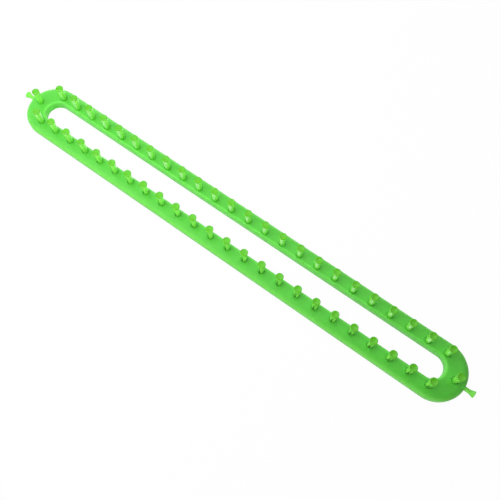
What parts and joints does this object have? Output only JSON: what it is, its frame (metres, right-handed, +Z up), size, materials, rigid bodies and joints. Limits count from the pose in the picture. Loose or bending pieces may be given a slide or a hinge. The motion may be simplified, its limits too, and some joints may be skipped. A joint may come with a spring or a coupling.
{
  "type": "long knitting loom",
  "caption": "Long, narrow ring of moulded plastic with a slot through its middle, upright grooved pegs all round for looping yarn, and a small anchor peg out of each end.",
  "frame": {"origin": "middle of the underside, on the surface the loom rests on", "axes": "+X along the loom towards the right end, +Y towards the back row of pegs, +Z up along the upright pegs"},
  "size_m": [0.4682, 0.049, 0.0233],
  "materials": {
    "frame_plastic": "satin gloss, bright green, injection moulded",
    "peg_plastic": "gloss, yellow-green, injection moulded"
  },
  "bodies": {
    "root": {"frame": "frame_plastic", "peg_front_01": "peg_plastic", "peg_front_02": "peg_plastic", "peg_front_03": "peg_plastic", "peg_front_04": "peg_plastic", "peg_front_05": "peg_plastic", "peg_front_06": "peg_plastic", "peg_front_07": "peg_plastic", "peg_front_08": "peg_plastic", "peg_front_09": "peg_plastic", "peg_front_10": "peg_plastic", "peg_front_11": "peg_plastic", "peg_front_12": "peg_plastic", "peg_front_13": "peg_plastic", "peg_front_14": "peg_plastic", "peg_front_15": "peg_plastic", "peg_front_16": "peg_plastic", "peg_front_17": "peg_plastic", "peg_front_18": "peg_plastic", "peg_front_19": "peg_plastic", "peg_front_20": "peg_plastic", "peg_front_21": "peg_plastic", "peg_front_22": "peg_plastic", "peg_front_23": "peg_plastic", "peg_front_24": "peg_plastic", "peg_back_01": "peg_plastic", "peg_back_02": "peg_plastic", "peg_back_03": "peg_plastic", "peg_back_04": "peg_plastic", "peg_back_05": "peg_plastic", "peg_back_06": "peg_plastic", "peg_back_07": "peg_plastic", "peg_back_08": "peg_plastic", "peg_back_09": "peg_plastic", "peg_back_10": "peg_plastic", "peg_back_11": "peg_plastic", "peg_back_12": "peg_plastic", "peg_back_13": "peg_plastic", "peg_back_14": "peg_plastic", "peg_back_15": "peg_plastic", "peg_back_16": "peg_plastic", "peg_back_17": "peg_plastic", "peg_back_18": "peg_plastic", "peg_back_19": "peg_plastic", "peg_back_20": "peg_plastic", "peg_back_21": "peg_plastic", "peg_back_22": "peg_plastic", "peg_back_23": "peg_plastic", "peg_back_24": "peg_plastic", "peg_end_left": "peg_plastic", "peg_end_right": "peg_plastic", "anchor_peg_left": "peg_plastic", "anchor_peg_right": "peg_plastic"}
  },
  "joints": []
}
